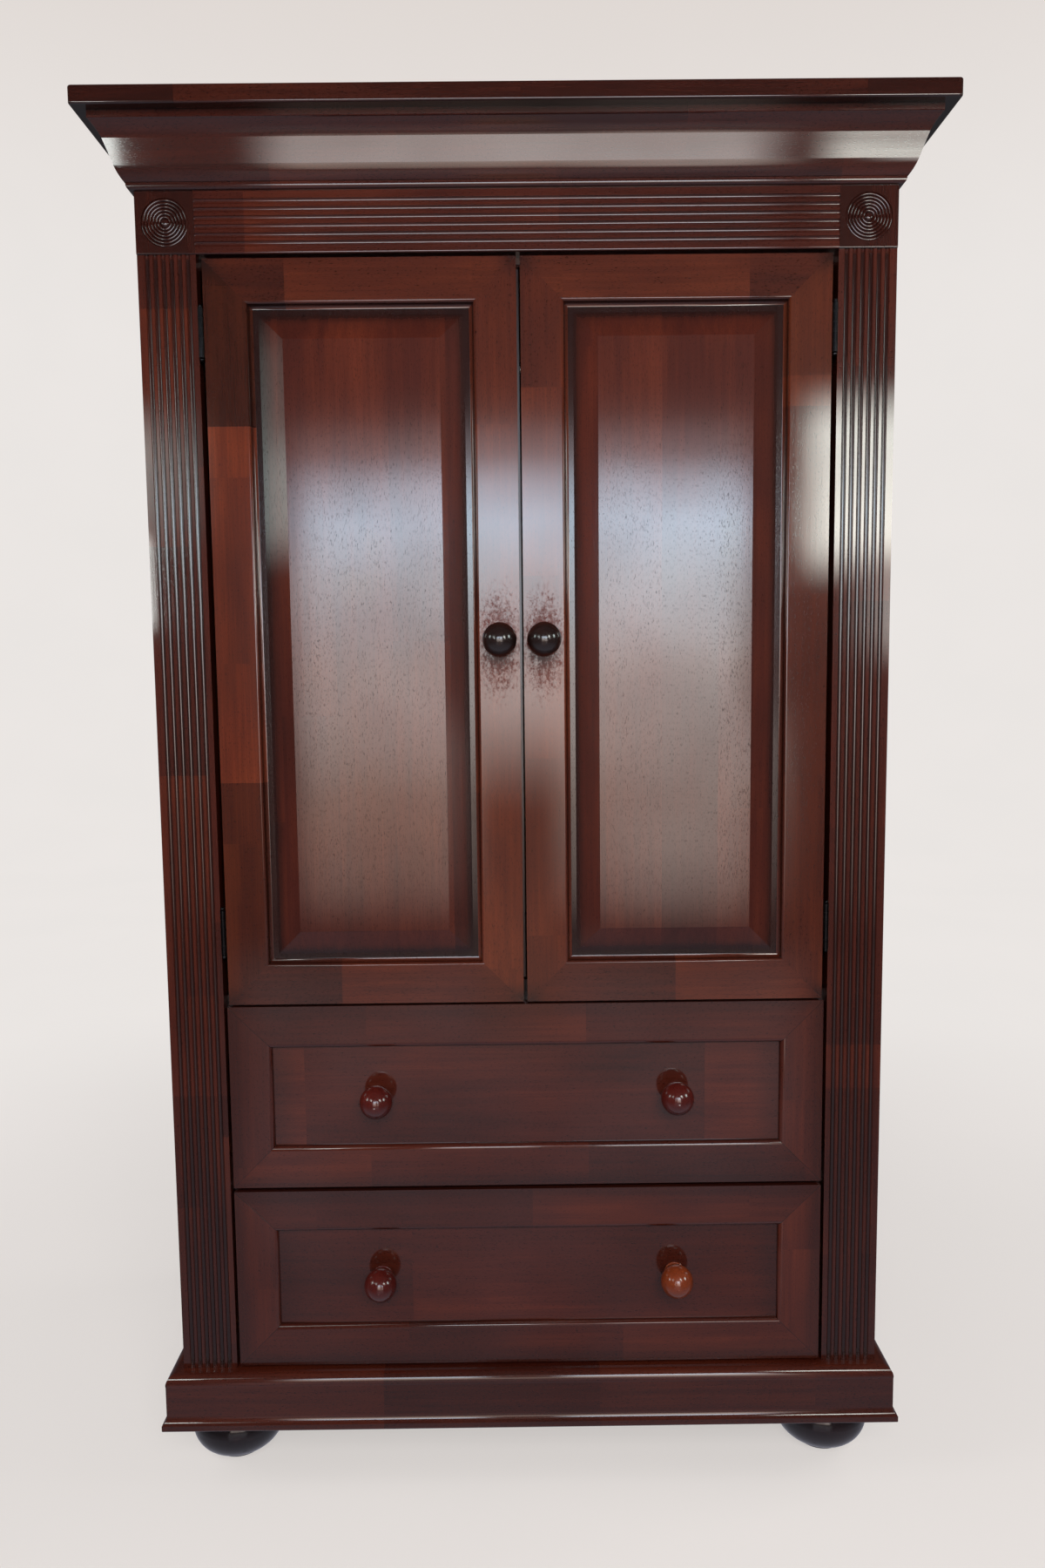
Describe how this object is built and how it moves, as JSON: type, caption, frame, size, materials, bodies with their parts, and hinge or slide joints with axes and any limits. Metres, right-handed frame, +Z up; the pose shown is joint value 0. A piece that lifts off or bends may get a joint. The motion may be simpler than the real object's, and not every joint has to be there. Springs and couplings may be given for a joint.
{
  "type": "armoire",
  "caption": "Tall armoire with a deep crown, fluted pilasters, hinged raised-panel doors above full-width drawers, moulded plinth and bun feet.",
  "frame": {"origin": "on the floor, under the centre of the top board's bounding box", "axes": "+Z up, +Y towards the back, the doors and drawers face -Y, +X to the viewer's right"},
  "size_m": [1.086, 0.61, 1.8345],
  "materials": {
    "mahogany": "dark red-brown stain under glossy lacquer",
    "interior_wood": "red-brown stain, satin",
    "secondary_wood": "clear satin",
    "back_plywood": "stained plywood, matte",
    "foot_wood": "near-black stain, glossy lacquer",
    "dark_knob_wood": "near-black brown, glossy lacquer",
    "red_knob_wood": "red-brown stain, glossy lacquer",
    "light_knob_wood": "orange-brown, glossy lacquer",
    "hinge_metal": "blackened",
    "rod_metal": "satin",
    "strike_steel": "satin",
    "catch_plastic": "matte brown"
  },
  "bodies": {
    "carcass": {"back_panel": "back_plywood", "base_panel": "interior_wood", "bun_feet": "foot_wood", "cabinet_floor": "interior_wood", "carcass_top_panel": "interior_wood", "corner_block_left": "mahogany", "corner_block_right": "mahogany", "crown_front": "mahogany", "crown_left": "mahogany", "crown_right": "mahogany", "door_catches": "catch_plastic", "door_stop_block": "interior_wood", "drawer_divider": "interior_wood", "drawer_guides": "secondary_wood", "frieze_board": "mahogany", "glue_blocks": "secondary_wood", "hanging_rod": "rod_metal", "hinge_frame_leaves": "hinge_metal", "hinge_pins": "hinge_metal", "pilaster_left": "mahogany", "pilaster_right": "mahogany", "plinth_back": "interior_wood", "plinth_front": "mahogany", "plinth_left": "mahogany", "plinth_right": "mahogany", "rod_sockets": "rod_metal", "side_panel_left": "mahogany", "side_panel_right": "mahogany", "top_board": "mahogany"},
    "left_door": {"left_door_astragal": "mahogany", "left_door_bottom_rail": "mahogany", "left_door_hinge_leaves": "hinge_metal", "left_door_hinge_stile": "mahogany", "left_door_knob": "dark_knob_wood", "left_door_meeting_stile": "mahogany", "left_door_panel": "mahogany", "left_door_strike": "strike_steel", "left_door_top_rail": "mahogany"},
    "lower_drawer": {"lower_drawer_box_back": "secondary_wood", "lower_drawer_box_bottom": "secondary_wood", "lower_drawer_box_sides": "secondary_wood", "lower_drawer_front_frame": "mahogany", "lower_drawer_front_panel": "mahogany", "lower_drawer_knob_left": "red_knob_wood", "lower_drawer_knob_right": "light_knob_wood"},
    "right_door": {"right_door_bottom_rail": "mahogany", "right_door_hinge_leaves": "hinge_metal", "right_door_hinge_stile": "mahogany", "right_door_knob": "dark_knob_wood", "right_door_meeting_stile": "mahogany", "right_door_panel": "mahogany", "right_door_strike": "strike_steel", "right_door_top_rail": "mahogany"},
    "upper_drawer": {"upper_drawer_box_back": "secondary_wood", "upper_drawer_box_bottom": "secondary_wood", "upper_drawer_box_sides": "secondary_wood", "upper_drawer_front_frame": "mahogany", "upper_drawer_front_panel": "mahogany", "upper_drawer_knobs": "red_knob_wood"}
  },
  "joints": [
    {"name": "left_door_swing", "type": "hinge", "parent": "carcass", "child": "left_door", "pos_m": [-0.4066, -0.2485, 0], "axis": [0, 0, -1], "range_deg": [0, 165]},
    {"name": "right_door_swing", "type": "hinge", "parent": "carcass", "child": "right_door", "pos_m": [0.4066, -0.2485, 0], "axis": [0, 0, 1], "range_deg": [0, 165]},
    {"name": "upper_drawer_slide", "type": "slide", "parent": "carcass", "child": "upper_drawer", "axis": [0, -1, 0], "range_m": [0, 0.38]},
    {"name": "lower_drawer_slide", "type": "slide", "parent": "carcass", "child": "lower_drawer", "axis": [0, -1, 0], "range_m": [0, 0.38]}
  ]
}
